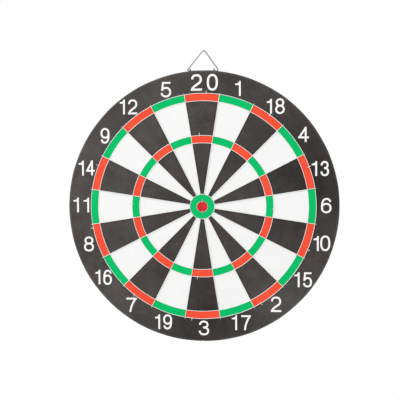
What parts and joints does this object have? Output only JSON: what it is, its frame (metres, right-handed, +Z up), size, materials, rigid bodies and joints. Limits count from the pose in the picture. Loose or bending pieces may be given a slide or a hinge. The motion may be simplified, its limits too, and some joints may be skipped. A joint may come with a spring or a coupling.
{
  "type": "wall dartboard",
  "caption": "Round flocked dartboard with numbered coloured fields under a raised wire spider, hung from a triangular wire loop that swings in two staples on its rim.",
  "frame": {"origin": "centre of the board's rear face, the plane that rests on the wall", "axes": "+Z up through the 20 field, +X to the thrower's right, the playing face looks along -Y"},
  "size_m": [0.306, 0.0166, 0.3308],
  "materials": {
    "black_flock": "matt short flock, faint brown mottling",
    "edge_band": "matt black flocked band",
    "coiled_paper": "raw coiled kraft paper",
    "white_flock": "matt white flock",
    "green_flock": "matt green flock",
    "red_flock": "matt orange-red flock",
    "crimson_flock": "matt crimson flock",
    "numeral_flock": "matt white flock",
    "spider_wire": "bright drawn steel wire",
    "staple_wire": "bright steel staple wire",
    "bail_wire": "bright zinc-plated steel wire",
    "dark_staple": "blackened steel wire"
  },
  "bodies": {
    "board": {"rear_cover": "black_flock", "coiled_paper_core": "coiled_paper", "front_flock": "black_flock", "edge_band": "edge_band", "white_outer_singles": "white_flock", "white_inner_singles": "white_flock", "green_doubles": "green_flock", "green_triples": "green_flock", "red_doubles": "red_flock", "red_triples": "red_flock", "outer_bull": "green_flock", "inner_bull": "crimson_flock", "double_outer_wire": "spider_wire", "double_inner_wire": "spider_wire", "triple_outer_wire": "spider_wire", "triple_inner_wire": "spider_wire", "outer_bull_wire": "spider_wire", "inner_bull_wire": "spider_wire", "radial_wires": "spider_wire", "double_wire_staples": "staple_wire", "triple_wire_staples": "staple_wire", "bull_wire_staples": "staple_wire", "hanger_staples": "dark_staple", "numerals": "numeral_flock"},
    "bail": {"hanger_bail": "bail_wire"}
  },
  "joints": [
    {"name": "bail_hinge", "type": "hinge", "parent": "board", "child": "bail", "pos_m": [0.00045, -0.0052, 0.15405], "axis": [1, 0, 0], "range_deg": [-92, 92]}
  ]
}
